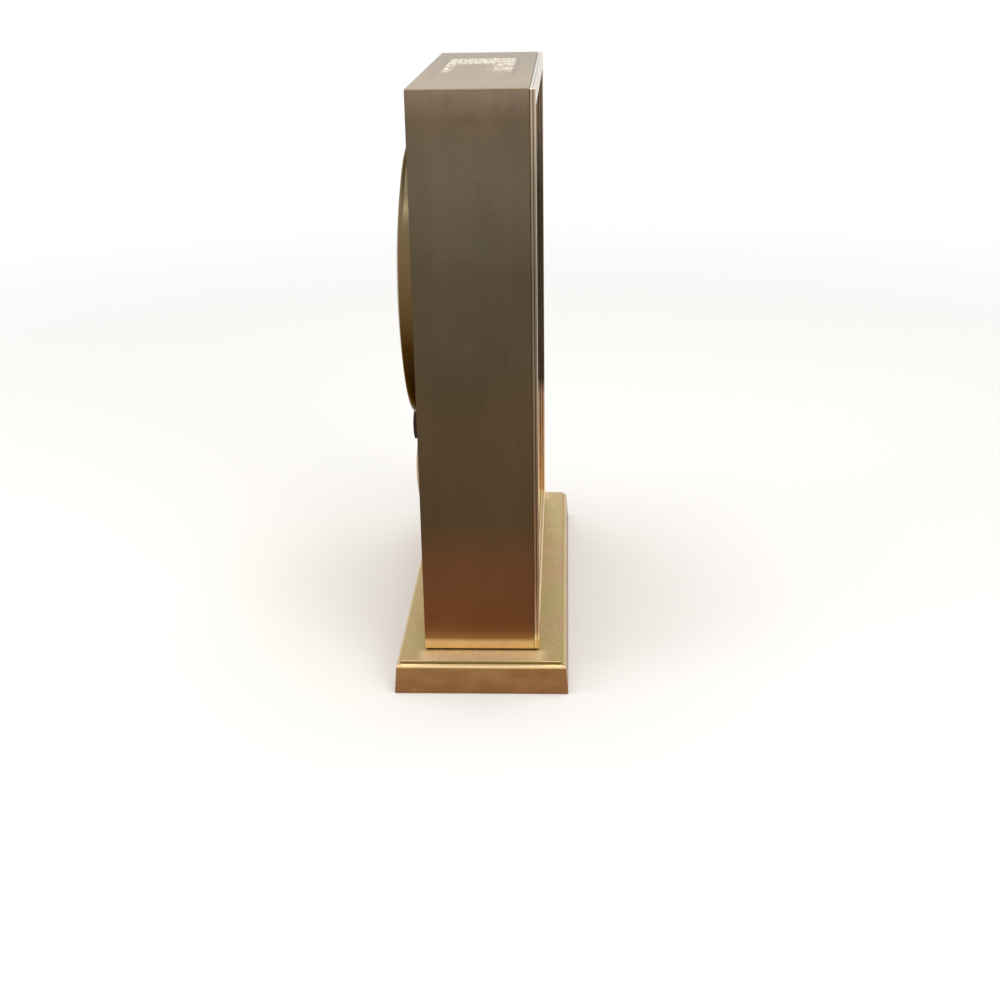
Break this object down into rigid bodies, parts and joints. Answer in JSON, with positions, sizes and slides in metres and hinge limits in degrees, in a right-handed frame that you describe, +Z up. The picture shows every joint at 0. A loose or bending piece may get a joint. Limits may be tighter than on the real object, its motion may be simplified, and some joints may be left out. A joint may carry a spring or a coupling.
{
  "type": "desk clock",
  "caption": "Tall rectangular brass desk clock on a moulded base, with a framed glass front, hands, a domed rear cover, a setting knob and a battery box.",
  "frame": {"origin": "middle of the felt face that the clock stands on", "axes": "+X to the viewer's right when facing the dial, the dial looks towards -Y, +Z up"},
  "size_m": [0.22, 0.0805, 0.2645],
  "materials": {
    "satin_brass": "brushed lacquered brass, aged to an olive brown",
    "bright_brass": "polished lacquered brass",
    "movement_brass": "turned and grained brass",
    "dark_gloss": "moulded dark brown plastic",
    "riser_black": "matt black paint",
    "felt": "dark green felt",
    "weight_iron": "rough cast ballast",
    "steel": "fine turned steel",
    "glass": "clear flat glass",
    "dial": "fine grained champagne lacquer",
    "chapter": "silvered ring with printed minutes and plain numbers",
    "black_enamel": "gloss black enamel",
    "copper_wire": "enamelled copper winding",
    "board": "brown laminate",
    "ivory": "fine satin ivory plastic",
    "cell_jacket": "plain grey jacket",
    "red_wire": "insulated wire"
  },
  "bodies": {
    "clock": {"base_felt": "felt", "base_weight": "weight_iron", "base_body": "satin_brass", "base_top_plate": "satin_brass", "base_bolts": "steel", "base_nuts": "steel", "case_riser": "riser_black", "case_shell": "satin_brass", "corner_posts": "movement_brass", "case_back": "satin_brass", "back_screws": "bright_brass", "dome_seat": "bright_brass", "front_bezel": "bright_brass", "front_glass": "glass", "glass_retainer": "bright_brass", "dial_plate": "dial", "dial_screws": "steel", "chapter_ring": "chapter", "hour_markers": "black_enamel", "motion_studs": "steel", "set_bush": "movement_brass", "front_plate": "movement_brass", "back_plate": "movement_brass", "plate_pillars": "movement_brass", "plate_screws": "steel", "dial_pillars": "movement_brass", "balance_bridge": "movement_brass", "bridge_posts": "movement_brass", "bridge_screws": "steel", "drive_coil": "copper_wire", "circuit_board": "board", "board_posts": "steel", "battery_tray": "ivory", "battery_cell": "cell_jacket", "battery_contacts": "steel", "battery_leads": "red_wire"},
    "minute": {"cannon_pinion": "movement_brass", "minute_hand": "black_enamel", "hand_nut": "bright_brass"},
    "hour": {"hour_wheel": "movement_brass", "hour_hand": "black_enamel"},
    "minute_work": {"minute_wheel": "movement_brass"},
    "setting_idler": {"setting_wheel": "movement_brass"},
    "set_knob_body": {"set_arbor": "steel", "set_knob": "dark_gloss"},
    "centre": {"centre_wheel": "movement_brass"},
    "third": {"third_wheel": "movement_brass"},
    "fourth": {"fourth_wheel": "steel", "index_wheel": "movement_brass"},
    "balance": {"balance_wheel": "movement_brass", "balance_magnets": "weight_iron", "hairspring": "steel"},
    "regulator_body": {"regulator": "steel"},
    "cover": {"rear_dome": "bright_brass"},
    "battery_lid": {"battery_cover": "ivory"}
  },
  "joints": [
    {"name": "minute_turn", "type": "hinge", "parent": "clock", "child": "minute", "pos_m": [0, 0, 0.13995], "axis": [0, 1, 0], "continuous": true},
    {"name": "hour_turn", "type": "hinge", "parent": "clock", "child": "hour", "pos_m": [0, 0, 0.13995], "axis": [0, 1, 0], "continuous": true},
    {"name": "minute_wheel_turn", "type": "hinge", "parent": "clock", "child": "minute_work", "pos_m": [0, 0, 0.12195], "axis": [0, 1, 0], "continuous": true},
    {"name": "setting_wheel_turn", "type": "hinge", "parent": "clock", "child": "setting_idler", "pos_m": [0, 0, 0.1032], "axis": [0, 1, 0], "continuous": true},
    {"name": "set_knob_turn", "type": "hinge", "parent": "clock", "child": "set_knob_body", "pos_m": [0, 0, 0.09345], "axis": [0, 1, 0], "continuous": true},
    {"name": "third_turn", "type": "hinge", "parent": "clock", "child": "third", "pos_m": [-0.01219, 0, 0.15736], "axis": [0, 1, 0], "continuous": true},
    {"name": "centre_turn", "type": "hinge", "parent": "clock", "child": "centre", "pos_m": [0, 0, 0.13995], "axis": [0, 1, 0], "continuous": true},
    {"name": "fourth_turn", "type": "hinge", "parent": "clock", "child": "fourth", "pos_m": [0, 0, 0.17353], "axis": [0, 1, 0], "continuous": true},
    {"name": "balance_swing", "type": "hinge", "parent": "clock", "child": "balance", "pos_m": [0, 0, 0.18513], "axis": [0, 1, 0], "range_deg": [-220, 220], "stiffness_Nm_per_rad": 0.0001},
    {"name": "regulator_turn", "type": "hinge", "parent": "clock", "child": "regulator_body", "pos_m": [0, 0, 0.18513], "axis": [0, 1, 0], "range_deg": [-25, 25]},
    {"name": "cover_lift_off", "type": "slide", "parent": "clock", "child": "cover", "axis": [0, 1, 0], "range_m": [0, 0.03]},
    {"name": "battery_lid_lift_off", "type": "slide", "parent": "clock", "child": "battery_lid", "axis": [0, 1, 0], "range_m": [0, 0.02]}
  ],
  "couplings": [
    {"joint": "minute_wheel_turn", "follows": "minute_turn", "ratio": -0.33333},
    {"joint": "hour_turn", "follows": "minute_turn", "ratio": 0.083333},
    {"joint": "setting_wheel_turn", "follows": "minute_turn", "ratio": 0.85714},
    {"joint": "set_knob_turn", "follows": "minute_turn", "ratio": -1},
    {"joint": "centre_turn", "follows": "third_turn", "ratio": -0.13333},
    {"joint": "fourth_turn", "follows": "third_turn", "ratio": -8}
  ]
}
